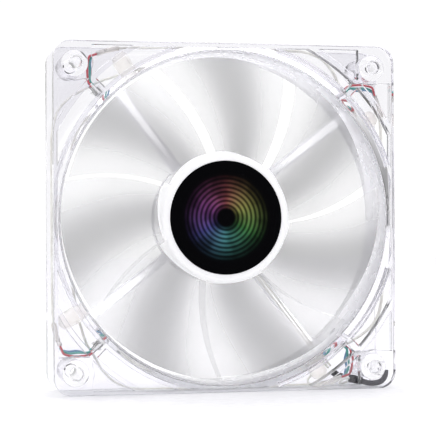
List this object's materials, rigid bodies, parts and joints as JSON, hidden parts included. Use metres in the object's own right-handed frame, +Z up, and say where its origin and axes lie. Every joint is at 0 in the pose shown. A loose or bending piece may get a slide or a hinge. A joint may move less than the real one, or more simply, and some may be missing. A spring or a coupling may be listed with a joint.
{
  "type": "case fan",
  "caption": "Square case fan: clear frame with corner LEDs and their wiring, milky swept-blade impeller with a black round hub label, and a brushless outer-rotor motor.",
  "frame": {"origin": "on the rotor's axis, in the plane of the rear (exhaust) mounting face, which is also the centre of the rear bolt pattern", "axes": "+Y along the rotor's axis, from the intake to the exhaust; the front with the hub label faces -Y; +Z up and +X right as seen from the front"},
  "size_m": [0.12, 0.025, 0.12],
  "materials": {
    "clear_plastic": "polished, clear",
    "milky_plastic": "satin, translucent white",
    "black_film": "glossy film with a faint rainbow ring pattern",
    "silver_film": "blank metallised film",
    "brass": "turned",
    "sintered_bronze": "porous, oiled",
    "nylon": "satin",
    "electrical_steel": "laminated, varnished",
    "yoke_steel": "drawn, zinc plated",
    "ground_steel": "ground",
    "spring_steel": "stamped",
    "tinned_steel": "tinned",
    "bonded_ferrite": "matt, dark grey",
    "copper_winding": "enamelled wire",
    "green_board": "solder mask",
    "black_resin": "moulded",
    "tan_ceramic": "fired",
    "led_epoxy": "clear, slightly milky",
    "cream_glue": "hot-melt, translucent",
    "red_insulation": "satin",
    "green_insulation": "satin",
    "blue_insulation": "satin",
    "cream_insulation": "satin",
    "pale_sleeve": "thin, translucent",
    "black_shrink": "matt",
    "grey_jacket": "satin"
  },
  "bodies": {
    "housing": {"frame": "clear_plastic", "bearing_tube": "brass", "bearing_sleeve": "sintered_bronze", "thrust_pad": "nylon", "oil_ring": "nylon", "stator_core": "electrical_steel", "insulator_front": "nylon", "insulator_rear": "nylon", "circuit_board": "green_board", "driver_chip": "black_resin", "hall_sensor": "black_resin", "capacitor": "tan_ceramic", "terminal_pins": "tinned_steel", "rear_label": "silver_film", "motor_leads": "cream_insulation", "supply_wires": "cream_insulation", "splice_sleeve_1": "black_shrink", "splice_sleeve_2": "black_shrink", "lead_jacket": "grey_jacket", "coil_1": "copper_winding", "coil_2": "copper_winding", "coil_3": "copper_winding", "coil_4": "copper_winding", "led_1": "led_epoxy", "led_2": "led_epoxy", "led_3": "led_epoxy", "led_4": "led_epoxy", "glue_dab_1": "cream_glue", "glue_dab_2": "cream_glue", "glue_dab_3": "cream_glue", "glue_dab_4": "cream_glue", "red_wire_1": "red_insulation", "red_wire_2": "red_insulation", "red_wire_3": "red_insulation", "red_wire_4": "red_insulation", "green_wire_1": "green_insulation", "green_wire_2": "green_insulation", "green_wire_3": "green_insulation", "green_wire_4": "green_insulation", "blue_wire_1": "blue_insulation", "blue_wire_2": "blue_insulation", "blue_wire_3": "blue_insulation", "blue_wire_4": "blue_insulation", "lead_sleeve_1": "pale_sleeve", "lead_sleeve_2": "pale_sleeve", "lead_sleeve_3": "pale_sleeve", "lead_sleeve_4": "pale_sleeve", "harness_1": "cream_insulation", "harness_2": "cream_insulation", "harness_3": "cream_insulation", "harness_4": "cream_insulation"},
    "rotor": {"impeller": "milky_plastic", "hub_label": "black_film", "rotor_yoke": "yoke_steel", "ring_magnet": "bonded_ferrite", "shaft": "ground_steel", "shaft_boss": "brass", "snap_ring": "spring_steel"}
  },
  "joints": [
    {"name": "rotor_spin", "type": "hinge", "parent": "housing", "child": "rotor", "pos_m": [0, 0, 0], "axis": [0, -1, 0], "continuous": true}
  ]
}
